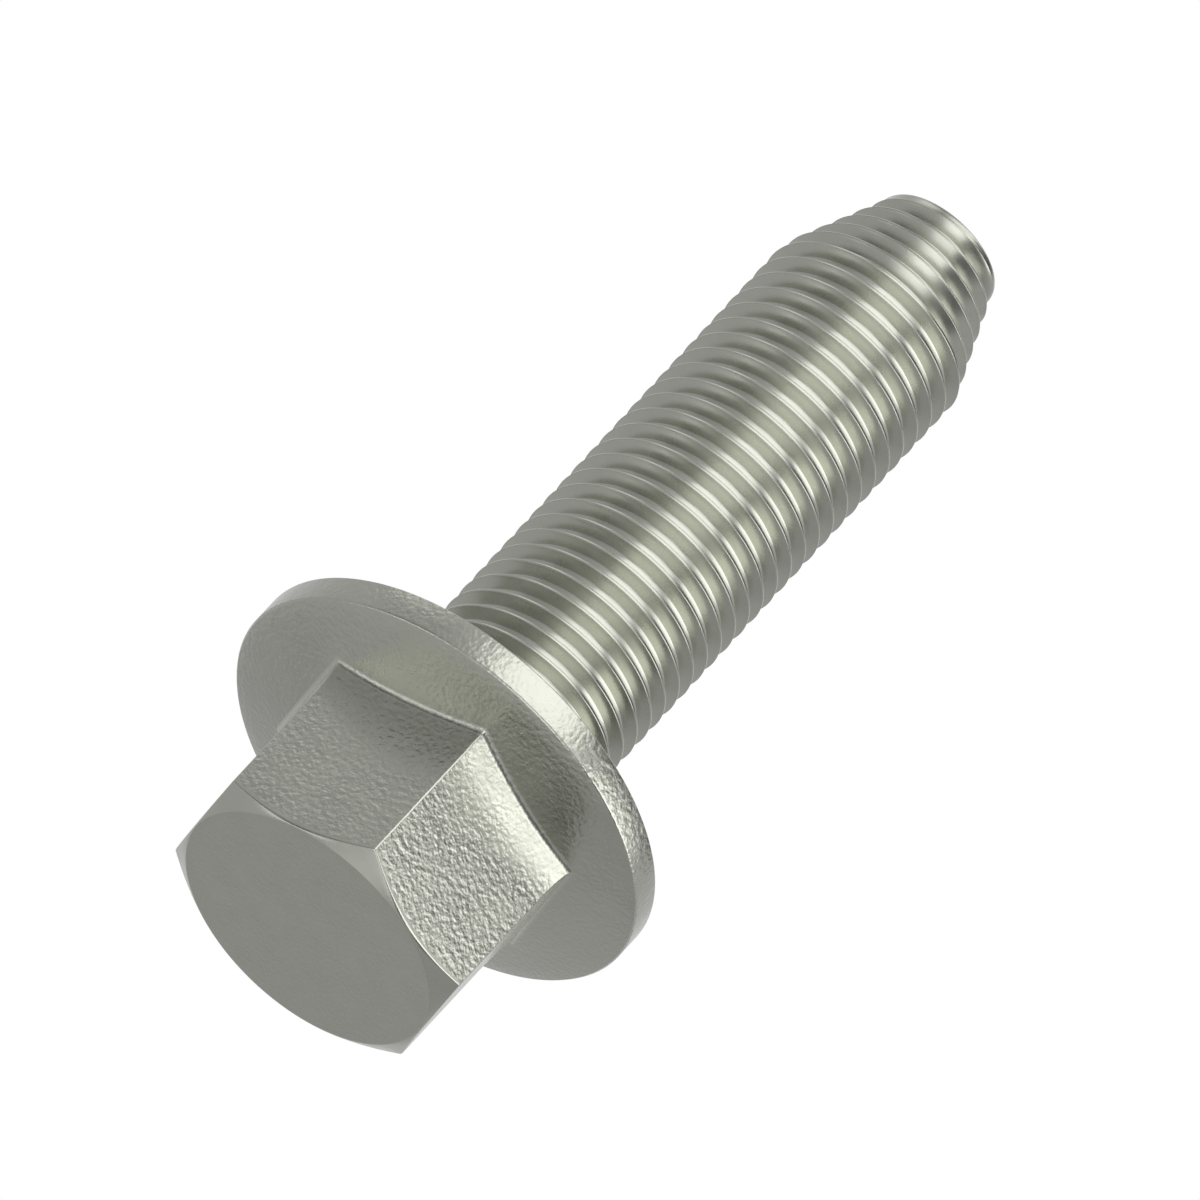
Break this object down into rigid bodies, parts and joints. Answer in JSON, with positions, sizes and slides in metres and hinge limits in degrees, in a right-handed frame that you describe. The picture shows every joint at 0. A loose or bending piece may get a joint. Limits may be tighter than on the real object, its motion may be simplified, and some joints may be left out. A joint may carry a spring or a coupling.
{
  "type": "self-tapping screw",
  "caption": "Self-tapping machine screw with a hexagon head, an integral round flange and a fully threaded shank that ends in a tapered lead.",
  "frame": {"origin": "centre of the head's flat end face, on which the screw stands", "axes": "+Z along the screw's axis from the head to the point; +X square to a flat of the hexagon, so two of its corners lie on the Y axis"},
  "size_m": [0.021, 0.021, 0.0458],
  "materials": {
    "steel": "satin, lightly dimpled on the head, smooth and brighter on the thread"
  },
  "bodies": {
    "root": {"screw": "steel"}
  },
  "joints": []
}
